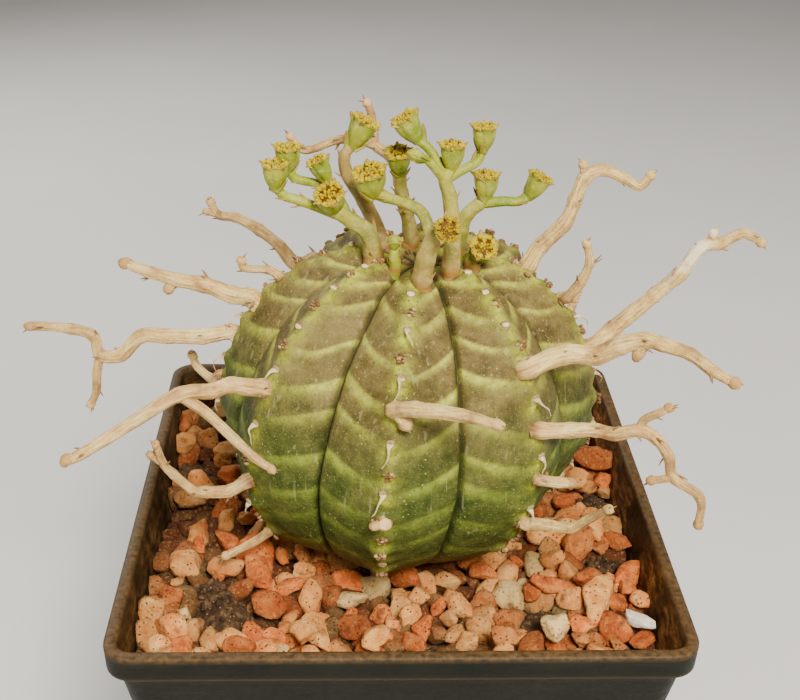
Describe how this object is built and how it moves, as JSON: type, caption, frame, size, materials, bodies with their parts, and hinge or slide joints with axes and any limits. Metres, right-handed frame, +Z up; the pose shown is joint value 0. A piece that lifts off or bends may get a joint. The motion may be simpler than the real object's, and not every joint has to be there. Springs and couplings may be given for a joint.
{
  "type": "potted euphorbia",
  "caption": "Ribbed globe-shaped succulent euphorbia with woody old flower stalks and yellow-green flower cups, in a square dark plastic pot topped with red gravel",
  "frame": {"origin": "centre of the pot's flat underside", "axes": "+Z up, -Y is the front of the plant as pictured, +X to the right seen from the front; the pot's sides lie along X and Y"},
  "size_m": [0.1353, 0.1008, 0.1678],
  "materials": {
    "pot_plastic": "worn matte black-green plastic with a slightly shiny rim and brown mineral stains inside",
    "potting_soil": "damp dark crumbly potting mix",
    "red_gravel": "rough pitted red and salmon gravel",
    "plant_skin": "waxy banded green and purple-grey succulent skin",
    "dry_stalk_wood": "dry fibrous tan wood with peeling bark",
    "flower_stalk_green": "soft waxy pale green to mauve tissue with yellow flower discs"
  },
  "bodies": {
    "root": {"dry_stalk_back_fork": "dry_stalk_wood", "dry_stalk_back_left": "dry_stalk_wood", "dry_stalk_back_right": "dry_stalk_wood", "dry_stalk_crown_rear": "dry_stalk_wood", "dry_stalk_front": "dry_stalk_wood", "dry_stalk_left_bottom": "dry_stalk_wood", "dry_stalk_left_front_fork": "dry_stalk_wood", "dry_stalk_left_long": "dry_stalk_wood", "dry_stalk_left_low": "dry_stalk_wood", "dry_stalk_left_rear_high": "dry_stalk_wood", "dry_stalk_left_rear_low": "dry_stalk_wood", "dry_stalk_left_small": "dry_stalk_wood", "dry_stalk_left_thick": "dry_stalk_wood", "dry_stalk_right_drooping": "dry_stalk_wood", "dry_stalk_right_high": "dry_stalk_wood", "dry_stalk_right_long": "dry_stalk_wood", "dry_stalk_right_low": "dry_stalk_wood", "dry_stalk_right_slim": "dry_stalk_wood", "dry_stalk_right_thick": "dry_stalk_wood", "dry_stub_right": "dry_stalk_wood", "dry_stump_front": "dry_stalk_wood", "flower_bud_crown": "flower_stalk_green", "flower_on_crown_right": "flower_stalk_green", "flower_stalk_front": "flower_stalk_green", "flower_stalk_left": "flower_stalk_green", "flower_stalk_mauve": "flower_stalk_green", "flower_stalk_pale": "flower_stalk_green", "flower_stalk_right_low": "flower_stalk_green", "flower_stalk_right_tall": "flower_stalk_green", "gravel_bed": "red_gravel", "plant_body": "plant_skin", "pot": "pot_plastic", "soil": "potting_soil", "stone_01": "red_gravel", "stone_02": "red_gravel", "stone_03": "red_gravel", "stone_04": "red_gravel", "stone_05": "red_gravel", "stone_06": "red_gravel", "stone_07": "red_gravel", "stone_08": "red_gravel", "stone_09": "red_gravel", "stone_10": "red_gravel", "stone_11": "red_gravel", "stone_12": "red_gravel", "stone_13": "red_gravel", "stone_14": "red_gravel", "stone_15": "red_gravel", "stone_16": "red_gravel", "stone_17": "red_gravel", "stone_18": "red_gravel"}
  },
  "joints": []
}
